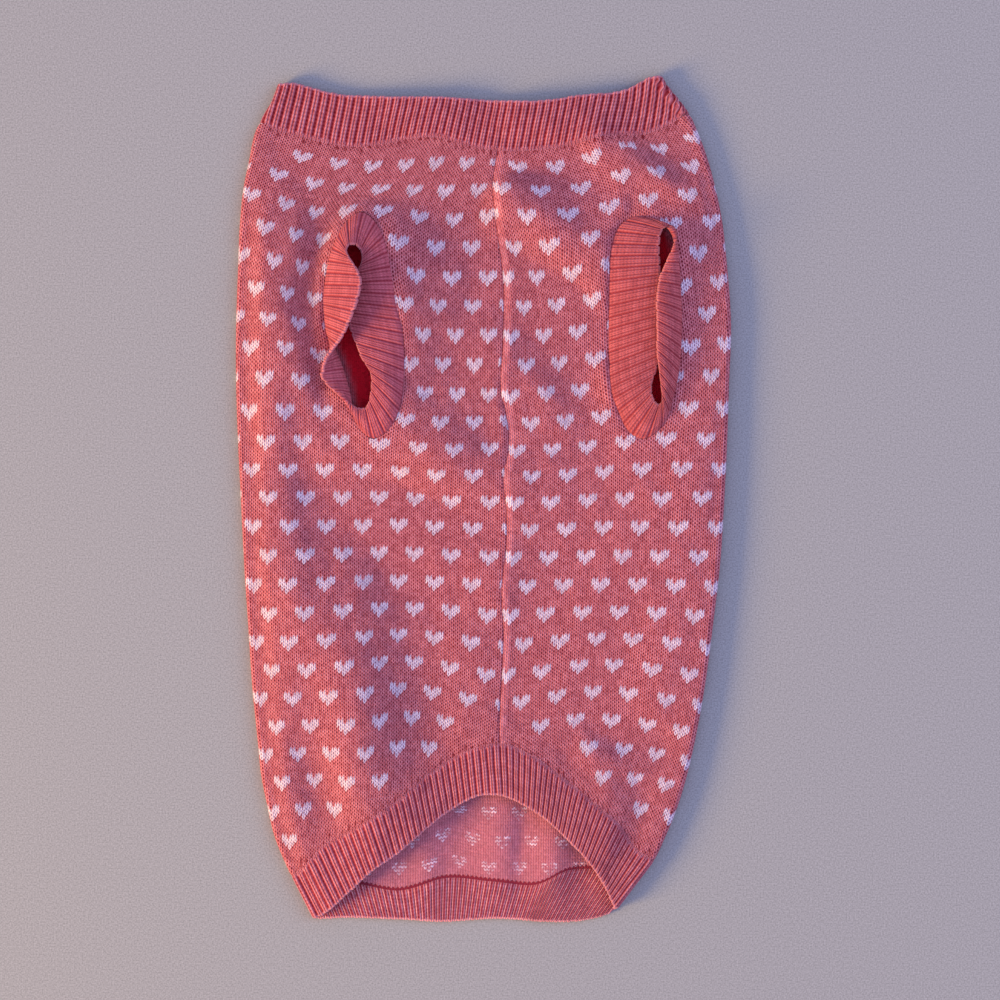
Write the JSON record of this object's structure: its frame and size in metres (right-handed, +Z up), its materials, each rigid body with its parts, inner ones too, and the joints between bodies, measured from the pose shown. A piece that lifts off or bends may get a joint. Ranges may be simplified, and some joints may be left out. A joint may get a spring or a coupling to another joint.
{
  "type": "dog sweater",
  "caption": "Knitted dog sweater laid flat, belly side up, with a rib collar, an arched rib hem and two rib leg cuffs.",
  "frame": {"origin": "middle of the laid garment's footprint, on the surface it lies on", "axes": "+Y along the dog's back towards the neck, +X across the garment to the right as seen from above, +Z up from the surface; the belly side faces up"},
  "size_m": [0.2477, 0.4228, 0.018],
  "materials": {
    "jacquard_knit": "matt two-colour stockinette knit, coral with small white hearts",
    "rib_knit": "matt one-by-one rib knit in plain coral"
  },
  "bodies": {
    "root": {"body_panel": "jacquard_knit", "neck_collar": "rib_knit", "hem_band": "rib_knit", "leg_cuff_left": "rib_knit", "leg_cuff_right": "rib_knit"}
  },
  "joints": []
}
